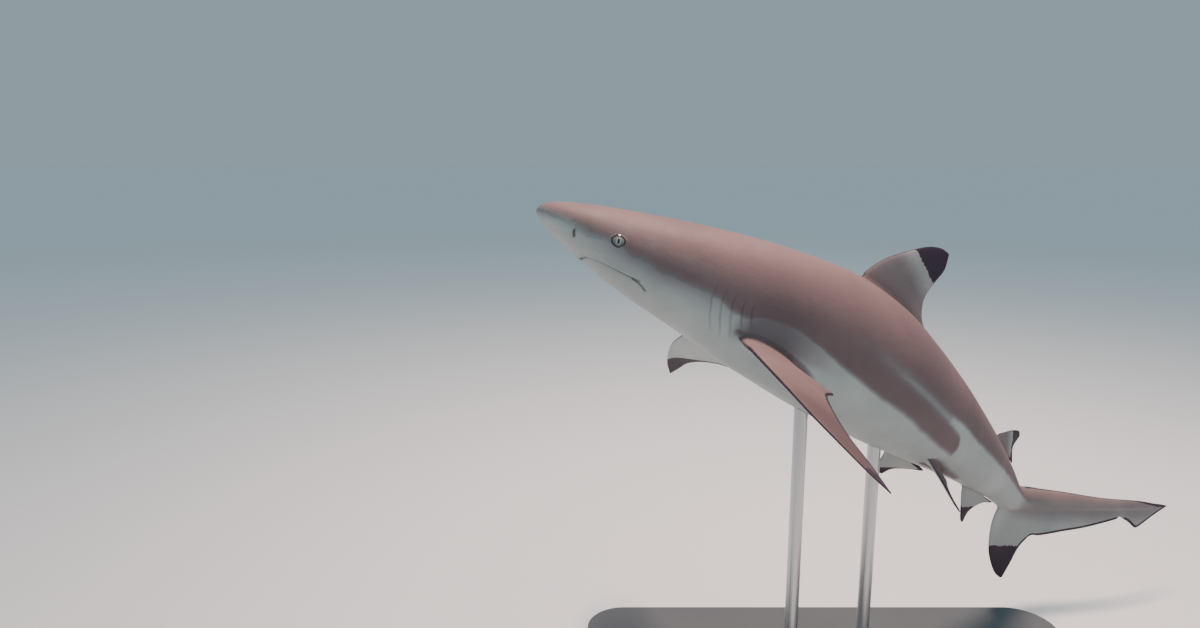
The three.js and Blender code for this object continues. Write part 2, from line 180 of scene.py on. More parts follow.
def to_line(points, line):
    """Distance from each 2-D point to a run of 2-D points, and how far along that run it is, 0 to 1."""
    points, line = np.asarray(points, float), np.asarray(line, float)
    leg = np.diff(line, axis=0)
    size = np.linalg.norm(leg, axis=1)
    done = np.concatenate([[0], np.cumsum(size)])
    best, along = np.full(len(points), 1e9), np.zeros(len(points))
    for k in range(len(leg)):
        t = np.clip(((points - line[k]) @ leg[k]) / size[k] ** 2, 0, 1)
        away = np.linalg.norm(points - line[k] - t[:, None] * leg[k], axis=1)
        nearer = away < best
        best = np.where(nearer, away, best)
        along = np.where(nearer, (done[k] + t * size[k]) / done[-1], along)
    return best, along


# ---- The skin: openings and folds --------------------------------------------------------------------
# The shut mouth is an arch under the snout with a short furrow at each corner. Each nostril is a slit with a
# small flap, each eye is set in a thin rim, and five gill slits stand in front of each pectoral fin. Every
# fold is cut into the skin itself; its lines are given in hundredths of the total length.

MOUTH_HALF, MOUTH_FRONT, MOUTH_DEEP, MOUTH_BOW = 4.5, 5.85, 5.25, 4.5
mouth_side = MOUTH_HALF * np.sin(np.linspace(-math.pi / 2, math.pi / 2, 61))
mouth_s = MOUTH_FRONT + MOUTH_DEEP * (np.abs(mouth_side) / MOUTH_HALF) ** MOUTH_BOW
MOUTH = np.stack([mouth_s, mouth_side], -1)
FURROW = [[10.5, -2.78], [11.0, -2.9], [11.5, -3.05], [12.0, -3.3]]
NOSTRIL = [[3.86, -1.2], [3.92, -1.45], [4.1, -1.72]]
GILLS = [
    [[17.6, -0.3], [17.6, -1.4], [18.1, -2.8], [19.0, -4.1]],
    [[18.6, -0.2], [18.6, -1.4], [19.1, -2.8], [20.0, -4.3]],
    [[19.6, -0.2], [19.6, -1.3], [20.1, -2.7], [20.9, -4.1]],
    [[20.6, -0.3], [20.6, -1.2], [21.0, -2.3], [21.6, -3.3]],
    [[21.5, -0.4], [21.5, -1.1], [21.8, -1.9], [22.3, -2.7]],
]
# The eye's centre, its half sizes and how it leans with the head's side, then the opening between its lids.
EYE_AT, EYE_HALF, EYE_SLANT, EYE_LEAN = (7.8, 4.4, -0.4), (0.8, 0.5, 0.74), 0.17, -0.08
LIDS = (0.60, 0.455)
EYE_LEVEL = math.radians(16)
MOUTH_REGION, EYE_REGION = 14, 12


def bell(away, width):
    """1 where away is nothing, falling smoothly on both sides."""
    return np.exp(-((away / width) ** 2))


def tapered(along, power, end=0.02):
    """1 in the middle of a run, thinning out to its two ends."""
    return np.sin(math.pi * np.clip(along, end, 1 - end)) ** power


def on_flank(s, side):
    """Whether a point is on a flank, and not on the back or the belly."""
    return np.abs(side) > half_width(s) * 0.55


def eye_plane(s, up):
    """A point beside the eye, measured along its level axis and upright axis."""
    ds, dup = s - EYE_AT[0], up - EYE_AT[2]
    c, n = math.cos(EYE_LEVEL), math.sin(EYE_LEVEL)
    return ds * c + dup * n, dup * c - ds * n


def lid_edge(s, up):
    """How far outside the lids' opening a point is."""
    level, upright = eye_plane(s, up)
    reach = np.hypot(level / LIDS[0], upright / LIDS[1])
    return (reach - 1) * LIDS[0]


def folds(straight):
    """How far the skin stands out from the plain body, in hundredths of the total length."""
    s, side, up = straight.T
    out = np.zeros(len(s))

    lip_depth, lip_width = 0.20, 0.10
    roll_height, roll_at, roll_width = 0.06, 0.24, 0.16
    chin_step, chin_fade = 0.24, 0.5
    under = ease(widest_at(s) - up, 0.6, 1.6)
    away, along = to_line(np.stack([s, side], -1), MOUTH)
    behind = s > np.interp(side, MOUTH[:, 1], MOUTH[:, 0])
    lips = under * (s < MOUTH_REGION) * ease(np.minimum(along, 1 - along), 0.0, 0.05)
    out -= lips * lip_depth * bell(away, lip_width)
    out += lips * roll_height * bell(away - roll_at, roll_width) * ~behind
    out -= lips * chin_step * np.exp(-away / chin_fade) * behind

    furrow_depth, furrow_width = 0.10, 0.07
    slit_depth, slit_width = 0.24, 0.12
    flap_height, flap_at, flap_width = 0.07, 0.28, 0.12
    flank = np.stack([s, up], -1)
    beside = on_flank(s, side)
    away, along = to_line(flank, FURROW)
    out -= beside * furrow_depth * bell(away, furrow_width) * tapered(along, 0.5)
    away, along = to_line(flank, NOSTRIL)
    slit = tapered(along, 0.6)
    out -= beside * slit_depth * slit * bell(away, slit_width)
    out += beside * flap_height * slit * bell(away - flap_at, flap_width)

    gill_depth, gill_width = 0.13, 0.08
    cover_height, cover_fade = 0.05, 0.45
    for line in GILLS:
        away, along = to_line(flank, line)
        ahead = s < np.interp(-up, [-p[1] for p in line], [p[0] for p in line])
        slit = beside * tapered(along, 0.5, 0.01)
        out -= slit * gill_depth * bell(away, gill_width)
        out += slit * cover_height * np.exp(-away / cover_fade) * ahead

    ridge_height, ridge_at, ridge_width = 0.035, 0.12, 0.10
    socket_depth = 0.30
    rim = lid_edge(s, up)
    out += beside * ridge_height * bell(rim - ridge_at, ridge_width) * (s < EYE_REGION)
    out -= beside * socket_depth * ease(-rim, -0.03, 0.12) * (s < EYE_REGION)

    upper_pit, lower_pit, pit_up = 0.12, 0.08, 0.6
    pit = bell(s - 75.2, 0.35) * bell(side, 0.8)
    out -= upper_pit * pit * (up > pit_up) + lower_pit * pit * (up < -pit_up)
    return out


def fine(s, side, up):
    """How many times the skin's mesh is halved at a point, to hold the folds and the fins' roots there."""
    level = np.zeros(len(s), int)
    away = to_line(np.stack([s, side], -1), MOUTH)[0]
    level[(away < 0.55) & (up < widest_at(s) - 0.4) & (s < MOUTH_REGION)] = 2
    flank = np.stack([s, up], -1)
    outer = on_flank(s, side)
    for line, reach, deep in [(FURROW, 0.4, 2), (NOSTRIL, 0.5, 3)] + [(line, 0.35, 2) for line in GILLS]:
        near = (to_line(flank, line)[0] < reach) & outer
        level[near] = np.maximum(level[near], deep)
    near = (np.abs(lid_edge(s, up) - 0.02) < 0.42) & outer & (s < EYE_REGION)
    level[near] = np.maximum(level[near], 2)
    for low, high, reach, top in ((31, 45.5, 2.1, 1), (61.2, 68.5, 1.3, 1), (60.7, 69, 1.3, -1)):
        near = (s > low) & (s < high) & (np.abs(side) < reach) & (top * up > 0)
        level[near] = np.maximum(level[near], 1)
    pectoral_root = (s > 19.8) & (s < 28.5) & (np.abs(up + 4.1) < 1.5)
    pelvic_root = (s > 47.2) & (s < 54) & (up < -3) & (np.abs(side) > 0.7)
    near = pectoral_root | pelvic_root
    level[near] = np.maximum(level[near], 1)
    return level


def body_mesh():
    """The straight body as a grid round each station, halved where a fold needs it, then put in place."""
    pace = [(0, 0.12), (1, 0.2), (3, 0.28), (24, 0.34), (30, 0.4), (62, 0.45), (75, 0.32), (BODY_END, 0.36)]
    around, first_angle, least_step = 120, 1 / 6, 0.02
    halved_up_to = {1: 70, 2: 24, 3: 24}
    allowance = 0.02
    stations = [0.012]
    while stations[-1] < BODY_END:
        step = np.interp(stations[-1], *zip(*pace)) * min(1, 0.2 + stations[-1])
        stations.append(stations[-1] + max(least_step, step))
    stations[-1] = BODY_END
    grid = bmesh.new()
    at_s = grid.verts.layers.float.new("s")
    at_angle = grid.verts.layers.float.new("angle")
    rows = []
    for s in stations:
        row = []
        for i in range(around):
            vert = grid.verts.new((s, i, 0))
            vert[at_s], vert[at_angle] = s, (first_angle + i / around) * 2 * math.pi
            row.append(vert)
        rows.append(row)
    for a, b in zip(rows, rows[1:]):
        for i in range(around):
            grid.faces.new((a[i], a[(i + 1) % around], b[(i + 1) % around], b[i]))
    grid.faces.new(rows[0])
    grid.faces.new(rows[-1][::-1])
    for level, end in halved_up_to.items():
        faces = [f for f in grid.faces if len(f.verts) < 9 and f.verts[0][at_s] < end]
        corners = [np.array([(v[at_s], v[at_angle]) for v in f.verts]) for f in faces]
        middle = np.array([c.mean(axis=0) for c in corners])
        wanted = fine(*section(middle[:, 0], middle[:, 1]).T) >= level
        wanted &= np.array([np.ptp(c[:, 1]) < 1 for c in corners])
        edges = {e for f, want in zip(faces, wanted) if want for e in f.edges}
        bmesh.ops.subdivide_edges(grid, edges=list(edges), cuts=1, use_grid_fill=True)
    s = np.array([v[at_s] for v in grid.verts])
    angle = np.array([v[at_angle] for v in grid.verts])
    straight = section(s, angle)
    for vert, co in zip(grid.verts, bend(straight)):
        vert.co = co
    bmesh.ops.triangulate(grid, faces=grid.faces)
    bmesh.ops.recalc_face_normals(grid, faces=grid.faces)
    grid.normal_update()
    raised = (folds(straight) - allowance) * UNIT
    for vert, rise in zip(grid.verts, raised):
        vert.co += vert.normal * rise
    mesh = bpy.data.meshes.new("skin")
    grid.to_mesh(mesh)
    grid.free()
    return mesh


skin = bpy.data.objects.new("skin", body_mesh())
scene.collection.objects.link(skin)

# ---- The skin: the fins -------------------------------------------------------------------------------
# Every fin is a thin foil, ruled between its leading and its trailing edge from root to tip. The upright ones
# stand in the body's middle plane; the paired ones are drawn flat, then drooped, pitched and swept.

HALF_EDGE = 0.32e-3 / UNIT


def smooth_run(points, count):
    """Points evenly spaced along a smooth run through the given ones."""
    points = np.array(points, float)
    ends = np.vstack([2 * points[0] - points[1], points, 2 * points[-1] - points[-2]])
    dense = []
    for k in range(1, len(ends) - 2):
        p = ends[k - 1 : k + 3]
        apart = np.sqrt(np.linalg.norm(np.diff(p, axis=0), axis=1)) + 1e-9
        knot = np.concatenate([[0], np.cumsum(apart)])
        for t in np.linspace(knot[1], knot[2], 24, endpoint=False):
            a = [p[i] + (p[i + 1] - p[i]) * (t - knot[i]) / (knot[i + 1] - knot[i]) for i in range(3)]
            b = [a[i] + (a[i + 1] - a[i]) * (t - knot[i]) / (knot[i + 2] - knot[i]) for i in range(2)]
            dense.append(b[0] + (b[1] - b[0]) * (t - knot[1]) / (knot[2] - knot[1]))
    dense = np.array(dense + [points[-1]])
    done = np.concatenate([[0], np.cumsum(np.linalg.norm(np.diff(dense, axis=0), axis=1))])
    want = np.linspace(0, done[-1], count)
    return np.stack([np.interp(want, done, dense[:, k]) for k in range(2)], -1)


def upright(mirror, x, out, across, u):
    """An upright fin's flat point x, out, with across to its side, in the body's straight space."""
    return np.stack([x, across, out], -1)


def paired(root, droop, incidence, sweep, curl, scale):
    """The same for a paired fin on its root, with its angles in degrees and its tip curled down."""
    tilt, pitch, swept = map(math.radians, (droop, incidence, sweep))

    def place(mirror, x, out, across, u):
        reach = scale * (out * math.cos(swept) - x * math.sin(swept))
        chord = scale * (x * math.cos(swept) + out * math.sin(swept))
        along = chord * math.cos(pitch) + across * math.sin(pitch)
        lift = across * math.cos(pitch) - chord * math.sin(pitch) - curl * u * u
        side = reach * math.cos(tilt) + lift * math.sin(tilt)
        up = lift * math.cos(tilt) - reach * math.sin(tilt)
        return np.stack([root[0] + along, mirror * (root[1] + side), root[2] + up], -1)

    return place


# lead and trail are the edges from root to tip, thick the thickness at the root and at the tip.
UPRIGHT = dict(place=upright, mirror=1, hub=None)
PECTORAL = dict(
    lead=[
        [-0.2, -3], [0.7, 0.6], [2.2, 4.9], [4.1, 8.8], [6.2, 12.4], [8.5, 15.3], [10.4, 17.2], [11.9, 18.1],
    ],
    trail=[
        [5.4, -3], [5.6, 0.6], [8.7, 2.4], [8.1, 4.4], [8.4, 8.4], [9.4, 12.4], [10.8, 15.4], [11.9, 17.9],
    ],
    thick=(1.5, 0.45), steps=90, hub=24.5,
)
PELVIC = dict(
    lead=[[-0.4, -2], [0.3, 0.4], [1.6, 2.6], [3.2, 5], [4.4, 6.1], [5.1, 6.1]],
    trail=[[4.4, -2], [4.7, 0.3], [8.2, 1.4], [6.7, 2.6], [5.4, 4.2], [5.2, 5.9]],
    thick=(0.9, 0.35), steps=56, hub=51,
)
PECTORAL_ROOT, PELVIC_ROOT = (21, 5.05, -3.6), (48.2, 2.2, -4.5)
FINS = {
    "first_dorsal_fin": dict(
        UPRIGHT,
        lead=[
            [32, 4.5], [32.6, 8.2], [34.4, 10.9], [36.3, 12.7], [38.4, 14.5], [40.9, 16.4], [42.8, 17.3],
            [43.9, 17.4],
        ],
        trail=[
            [42.4, 4.5], [43, 6.6], [46.6, 6.7], [45, 7.6], [43.4, 8.8], [42.7, 10.6], [43.3, 13],
            [44.2, 15.4], [44.1, 17.2],
        ],
        thick=(1.5, 0.5), steps=80,
    ),
    "second_dorsal_fin": dict(
        UPRIGHT,
        lead=[[62.2, 2], [62.9, 3.8], [64, 4.7], [65.7, 5.8], [67.1, 6.3], [67.7, 6.1]],
        trail=[[66.6, 2], [67, 2.9], [70.2, 3], [68.8, 3.6], [67.9, 4.4], [67.9, 5.9]],
        thick=(0.8, 0.35), steps=48,
    ),
    "anal_fin": dict(
        UPRIGHT,
        lead=[[61.6, -1.6], [62.4, -3.6], [63.9, -4.9], [65.4, -6.1], [66.4, -6.8], [66.9, -6.9]],
        trail=[
            [66.8, -1.4], [67.4, -2.5], [71.2, -2.4], [69.2, -3.2], [67.6, -4.4], [66.9, -5.6], [67.1, -6.7],
        ],
        thick=(0.8, 0.35), steps=48,
    ),
    "tail_upper": dict(
        UPRIGHT,
        lead=[[75.4, 0.6], [78, 2.2], [84, 4.8], [92.6, 9.1]],
        trail=[[75.6, -1.4], [80.9, -2.8], [86.8, 1.5], [92.4, 6.75]],
        thick=(0.9, 0.5), steps=60,
    ),
    "tail_end": dict(
        UPRIGHT,
        lead=[[91.4, 8.2], [94.4, 10.4], [96.8, 11.7], [99.1, 12.7], [99.9, 12.95]],
        trail=[
            [91.6, 7.1], [92.6, 7.15], [94.2, 7.35], [95.9, 7.35], [96.3, 7.75], [98, 10.4], [99.8, 12.75],
        ],
        thick=(0.5, 0.3), steps=44,
    ),
    "tail_lower": dict(
        UPRIGHT,
        lead=[[73.4, 0], [74.1, -3.6], [77, -6.5], [79.5, -8.1], [81, -8.8], [82, -8.9]],
        trail=[
            [86.4, 2.1], [84.4, 0.1], [83.3, -1.1], [82.55, -2.2], [82.1, -3.3], [81.95, -4.6], [82.1, -6.4],
            [82.2, -8.7],
        ],
        thick=(0.9, 0.4), steps=60,
    ),
    "pectoral_left": dict(PECTORAL, mirror=-1, place=paired(PECTORAL_ROOT, 9.7, 2.6, -15.4, 2.6, 1.12)),
    "pectoral_right": dict(PECTORAL, mirror=1, place=paired(PECTORAL_ROOT, 2, 14.4, -23, 4, 1.12)),
    "pelvic_left": dict(PELVIC, mirror=-1, place=paired(PELVIC_ROOT, 37.5, 4, 14, 0.45, 0.95)),
    "pelvic_right": dict(PELVIC, mirror=1, place=paired(PELVIC_ROOT, 29, 6, 15, 0.1, 0.85)),
}

# Where the points stand across a fin, crowded at its leading edge.
front = (1 - np.cos(np.linspace(0, math.pi / 2, 17)))[:-1]
CHORD = np.concatenate([front * 0.5 / front[-1] * 0.93, np.linspace(0.5, 1, 9)])

fin_places = {}


def fin_mesh(name, fin, paint):
    """A closed foil. Each point's flat place on the fin is kept for the markings."""
    lead, trail = smooth_run(fin["lead"], fin["steps"] + 1), smooth_run(fin["trail"], fin["steps"] + 1)
    u = np.linspace(0, 1, fin["steps"] + 1)
    greatest = np.interp(u, (0, 1), fin["thick"]) * np.minimum(1, np.sqrt(1.02 - u))
    flat = lead[:, None] * (1 - CHORD[:, None]) + trail[:, None] * CHORD[:, None]
    foil = np.maximum(0, 2.6 * np.sqrt(CHORD) - 1.1 * CHORD - 1.5 * CHORD**2)
    half = HALF_EDGE + greatest[:, None] / 2 * foil
    sides = []
    for sign in (1, -1):
        points = fin["place"](fin["mirror"], flat[..., 0], flat[..., 1], sign * half, u[:, None] + 0 * half)
        sides.append(bend(points.reshape(-1, 3), fin["hub"]).reshape(points.shape))
    ring = np.concatenate([sides[0], sides[1][:, ::-1]], axis=1)
    rows, around = ring.shape[:2]
    index = np.arange(rows * around).reshape(rows, around)
    beside = np.roll(index, -1, 1)
    faces = np.stack([index[:-1], beside[:-1], beside[1:], index[1:]], -1).reshape(-1, 4).tolist()
    for row, step in ((0, -1), (rows - 1, 1)):
        for i in range(len(CHORD) - 1):
            cap = index[row, [i, i + 1, around - 2 - i, around - 1 - i]]
            faces.append(cap[::step].tolist())
    mesh = bpy.data.meshes.new(name)
    mesh.from_pydata(ring.reshape(-1, 3).tolist(), [], faces)
    over = np.concatenate([half, -half[:, ::-1]], axis=1)
    wide = np.concatenate([flat, flat[:, ::-1]], axis=1)
    fin_places[paint] = (ring.reshape(-1, 3), np.dstack([wide, over]).reshape(-1, 3))
    shell = bmesh.new()
    shell.from_mesh(mesh)
    bmesh.ops.remove_doubles(shell, verts=shell.verts, dist=1e-6)
    bmesh.ops.triangulate(shell, faces=shell.faces)
    bmesh.ops.recalc_face_normals(shell, faces=shell.faces)
    if shell.calc_volume(signed=True) < 0:
        bmesh.ops.reverse_faces(shell, faces=shell.faces)
    for face in shell.faces:
        face.material_index = paint
    shell.to_mesh(mesh)
    shell.free()
    return mesh


def join(base, tool):
    """Makes the base and the tool one closed skin."""
    union = base.modifiers.new("union", "BOOLEAN")
    union.operation, union.solver, union.object = "UNION", "MANIFOLD", tool
    whole = bpy.data.meshes.new_from_object(base.evaluated_get(bpy.context.evaluated_depsgraph_get()))
    base.modifiers.clear()
    base.data = whole
    bpy.data.objects.remove(tool)


for paint in range(len(FINS) + 1):
    skin.data.materials.append(bpy.data.materials.new(f"mark_{paint}"))
for paint, (name, fin) in enumerate(FINS.items(), start=1):
    shell = bpy.data.objects.new(name, fin_mesh(name, fin, paint))
    for material in skin.data.materials:
        shell.data.materials.append(material)
    scene.collection.objects.link(shell)
    join(skin, shell)

# ---- The skin: markings and finish --------------------------------------------------------------------
# Brown above and pale below with a soft edge, a long dark wedge on each flank under a pale line, and black
# tips and hems on the fins. Each marking is a distance kept on the skin's points, so its edge stays crisp.
# Painted shade is kept the same way: in the creases, at the lids' edge, along the pectoral fins' roots and
# below the brown on the head.

BROWN_EDGE = [
    [0, -0.55], [1.7, -0.6], [3.6, -0.6], [5.5, -0.85], [7.3, -0.7], [9.3, -1.1], [11.4, -1.3], [14.3, -1.3],
    [18.2, -1.1], [20, -1.7], [21.2, -1.9], [23, -1.2], [24.7, -1.0], [26, -1.1], [28, -1.6], [30.3, -2.4],
    [32.6, -3.0], [35.4, -3.6], [38.4, -3.7], [42.6, -3.9], [47.9, -3.5], [51.5, -3.0], [60, -3],
]
LINE_FOOT = [
    [30, 0.6], [34.5, -0.35], [36.1, -0.8], [39.6, -1.2], [42.9, -1.25], [46.7, -1.2], [49.5, -1.1], [60, -1],
]
LINE_HEAD = [
    [30, 0.6], [35, -0.25], [37.5, -0.6], [41.3, -0.85], [45.2, -0.75], [50.2, 0.1], [54.6, 0.3],
    [59.2, 0.6], [64, 0.7], [68.7, 0.7], [76, 0.9],
]
# Along each pectoral fin's root on the flank: partly a brown marking, partly painted shade where the fin
# meets the body.
PECTORAL_BAND_AND_SHADE = [[21.2, -3.2], [22.8, -3.1], [25, -3.5], [27.4, -4.2], [29.4, -5.0]]
PELVIC_PATCH = [[50.3, -4.9], [57.4, -4.3]]
# Each dorsal fin: how dark its brown is, how that fades up the fin and towards the black, where the black
# begins, and how wide the dark line on its front edge is.
DORSAL_MARKS = {
    "first_dorsal_fin": dict(
        brown=0.86, up_fade=(0.28, 7.5, 10), pale_band=(0.42, -3.4, -0.5),
        black=((38.2, 14.6), (43.8, 12.9)), hem=0.06, run=60,
    ),
    "second_dorsal_fin": dict(
        brown=0.9, up_fade=(0.35, 2.4, 4), pale_band=(0.4, -1.5, -0.2),
        black=((65.6, 5.6), (68.0, 3.5)), hem=0.05, run=40,
    ),
}
NONE, FULL, FAR = -3.0, 2, 3.0
TAIL_FROM = 73


def past(points, a, b):
    """Signed distance to the left of the line from a to b."""
    along = np.subtract(b, a) / np.linalg.norm(np.subtract(b, a))
    gap = points - np.array(a, float)
    return along[0] * gap[:, 1] - along[1] * gap[:, 0]


def table_at(table, s):
    """The value at s of a table of [s, value] pairs."""
    return np.interp(s, *zip(*table))


def away_from(points, fin, edge, count):
    """Distance to a fin's smooth leading or trailing edge."""
    return to_line(points, smooth_run(fin[edge], count))[0]


def unbend(places):
    """Places back to the straight body."""
    coarse, rounds = 4, 8
    s = np.empty(len(places))
    for part in np.array_split(np.arange(len(places)), 40):
        gap = places[part, None] - spine_at[None, ::coarse]
        s[part] = SPINE_S[::coarse][(gap**2).sum(-1).argmin(1)]
    for _ in range(rounds):
        at, turned = spine_frame(s)
        s = np.clip(s + np.einsum("ni,ni->n", places - at, turned[:, :, 0]) / UNIT, 0, 100)
    at, turned = spine_frame(s)
    local = np.einsum("nij,ni->nj", turned, places - at) / UNIT
    return np.stack([s, local[:, 1], local[:, 2]], -1)


def tree_of(points):
    tree = kdtree.KDTree(len(points))
    for k, point in enumerate(points):
        tree.insert(point, k)
    tree.balance()
    return tree


def fin_points(place, paint):
    """Each fin point's flat place on its fin, and how far it is over the fin's middle."""
    flat = np.zeros((len(place), 3))
    for index, (points, where) in fin_places.items():
        tree = tree_of(points)
        for k in np.flatnonzero(paint == index):
            near = tree.find_n(place[k], 3)
            weight = np.array([1 / (n[2] + 1e-6) for n in near])
            flat[k] = (weight[:, None] * where[[n[1] for n in near]]).sum(0) / weight.sum()
    return flat


def body_marks(s, side, up, on_body):
    """Brown against pale, how strongly the brown covers, and painted shade below its edge on the head and by
    the pectoral fins.
    """
    in_plane = np.stack([s, up], -1)
    low, foot, head = (table_at(table, s) for table in (BROWN_EDGE, LINE_FOOT, LINE_HEAD))
    tip_s, tip_up, tip_bow = 51.3, -2.6, 0.5
    wedge_end = tip_s - s - tip_bow * (up - tip_up) ** 2
    wedge = np.minimum(np.minimum(up - low, foot - up), wedge_end)
    line_opens = np.where(s < 46, 0.6, 0.6 - (s - 46) * 0.5)
    line_floor = np.minimum(np.minimum(up - low, line_opens), 51 - s)
    tone = np.maximum(np.maximum(wedge, up - head), line_floor)
    tone *= 1 - 0.55 * (1 - ease(s, 14, 26))
    # The band along the pectoral fin's root is partly brown skin and partly painted shade where the fin meets
    # the body.
    away, along = to_line(in_plane, PECTORAL_BAND_AND_SHADE)
    pectoral_half, pelvic_half = 0.75, 0.55
    pectoral_band_and_shade = pectoral_half * np.sin(math.pi * np.clip(along, 0.08, 1)) ** 0.7 - away
    tone = np.maximum(tone, np.where(on_body, pectoral_band_and_shade, NONE))
    pelvic_patch = pelvic_half - to_line(in_plane, PELVIC_PATCH)[0]
    tone = np.maximum(tone, np.where(on_body & (np.abs(side) > 1), pelvic_patch, NONE))
    # Painted shade: a grey that dims the pale skin below the brown edge on the head's sides and round the
    # pectoral fins' roots.
    head_shade = 0.42 * np.exp(-np.maximum(0, low - up) / 0.9) * (1 - ease(s, 16, 24)) * ease(s, 3, 9)
    fin_shade = ease(s, 19.5, 22.5) * (1 - ease(s, 24, 33)) * bell(np.maximum(0, -3.0 - up), 0.8)
    shade_and_tail_grey = np.maximum(head_shade, 0.55 * fin_shade) * on_body
    full_cover, line_paler, line_half = 0.86, 0.57, 0.58
    pale_line = ease(s, 29, 41) * (1 - ease(s, 50, 54)) * bell(up - (foot + head) / 2, line_half)
    return tone, full_cover - line_paler * pale_line, shade_and_tail_grey


def upright_fin_marks(in_plane, on, tone, cover, black, hem):
    """The dorsal fins' black tips under a pale band, and the anal fin's pale face and black tip."""
    up = in_plane[:, 1]
    for name, mark in DORSAL_MARKS.items():
        fin = on[name]
        (fade, fade_low, fade_high), (pale, pale_low, pale_high) = mark["up_fade"], mark["pale_band"]
        into_black = past(in_plane, *mark["black"])
        brown = mark["brown"] - fade * ease(up, fade_low, fade_high)
        brown -= pale * ease(into_black, pale_low, pale_high)
        tone[fin], cover[fin], black[fin] = FULL, brown[fin], into_black[fin]
        hem[fin] = (mark["hem"] - away_from(in_plane, FINS[name], "lead", mark["run"]))[fin]
    fin, faint, hem_width = on["anal_fin"], 0.12, 0.12
    tone[fin], cover[fin] = FULL, faint
    black[fin] = past(in_plane, (67.4, -4.4), (65.1, -5.4))[fin]
    hem[fin] = (hem_width - away_from(in_plane, FINS["anal_fin"], "trail", 40))[fin]


def tail_marks(s, up, on, on_body, tone, shade_and_tail_grey, black, hem):
    """The tail fin's grey faces, its black lower tip, and the black line along its rear and top edges."""
    in_plane = np.stack([s, up], -1)
    rear = s > TAIL_FROM
    tail = (on["tail_upper"] | on["tail_end"] | on["tail_lower"] | on_body) & rear
    above = up - widest_at(s)
    tail_cover = 0.16 + 0.32 * ease(above, -3.2, -0.8) + 0.24 * ease(above, -0.2, 1.6)
    body_cover = 0.86 * ease(tone, -0.35, 0.35)
    shade_and_tail_grey[on_body] = np.maximum(shade_and_tail_grey, body_cover * ease(s, 70, 72.5))[on_body]
    mixed = body_cover + (tail_cover - body_cover) * ease(s, 74, 79)
    shade_and_tail_grey[tail], tone[tail] = mixed[tail], NONE

    lobes_meet_s, lobes_meet_up = 82.9, -1.9
    rear_width, top_width, top_widens, end_width = 0.30, 0.10, 0.26, 0.34
    upper_edge = smooth_run(FINS["tail_upper"]["trail"], 80)
    lower_edge = smooth_run(FINS["tail_lower"]["trail"], 80)
    upper_edge = upper_edge[upper_edge[:, 0] > lobes_meet_s][::-1]
    lower_edge = lower_edge[lower_edge[:, 1] < lobes_meet_up]
    rear_hem = rear_width - to_line(in_plane, np.vstack([upper_edge, lower_edge]))[0]
    top = np.maximum(back(s), table_at(FINS["tail_upper"]["lead"], s))
    top = np.where(s > 91.5, np.maximum(top, table_at(FINS["tail_end"]["lead"], s)), top)
    ridge = np.where(s > 77, up - top + top_width + top_widens * ease(s, 92.5, 96.5), NONE)
    end_edge = smooth_run(FINS["tail_end"]["trail"], 60)[10:]
    end = on["tail_end"] | (rear & (s > 92.5))
    black[tail] = np.where(up < -2, past(in_plane, (82, -4.1), (77.2, -6.4)), NONE)[tail]
    hem[tail] = np.maximum(rear_hem, ridge)[tail]
    hem[end] = np.maximum(hem, end_width - to_line(in_plane, end_edge)[0])[end]


def paired_fin_marks(x, out, over, on, tone, cover, black, hem):
    """Brown upper faces and pale undersides, with black tips that reach further below."""
    plane = np.stack([x, out], -1)
    under_hem, under_tip, front_width, black_below = 0.12, 1.3, 0.05, 0.9
    for name, drawn, tip_at, hem_width in (("pectoral", PECTORAL, 16.4, 0.24), ("pelvic", PELVIC, 5.7, 0.3)):
        fin = on[name + "_left"] | on[name + "_right"]
        below = np.where(over < 0, under_hem + under_tip * ease(out, 0.5 * tip_at, tip_at), 0)
        rear_hem = hem_width * ease(out, 0.3, 1.6) + below - away_from(plane, drawn, "trail", 60)
        front_hem = front_width * ease(out, 1.0, 3) - away_from(plane, drawn, "lead", 60)
        hem[fin] = np.maximum(rear_hem, front_hem)[fin]
        black[fin] = (out - tip_at + 0.25 * (x - x[fin].max()) + np.where(over < 0, black_below, 0))[fin]
        tone[fin] = (over * 5 + 0.1)[fin]
        cover[fin] = (0.84 + 0.14 * ease(out, 0.2 * tip_at, 0.75 * tip_at))[fin]


def fold_marks(s, side, up, on_body):
    """How much painted shade darkens the creases, and how far a point is outside the eye's opening."""
    in_plane = np.stack([s, up], -1)
    flank = on_flank(s, side)
    away = to_line(np.stack([s, side], -1), MOUTH)[0]
    lip_width = 0.10 + 0.06 * (1 - ease(np.abs(side), 2, 4.2))
    # Painted shade in the mouth's line, the corner furrows and the nostrils, and faintly in the gill slits.
    crease_shade = (up < widest_at(s) - 0.5) * (s < MOUTH_REGION) * bell(away, lip_width)
    for line, width in ((FURROW, 0.08), (NOSTRIL, 0.12)):
        crease_shade = np.maximum(crease_shade, flank * bell(to_line(in_plane, line)[0], width))
    for line in GILLS:
        away, along = to_line(in_plane, line)
        crease_shade = np.maximum(crease_shade, 0.15 * flank * bell(away, 0.11) * np.sin(math.pi * along) ** 0.4)
    rim = np.where((s < EYE_REGION) & flank, lid_edge(s, up), FAR)
    return crease_shade * on_body, rim


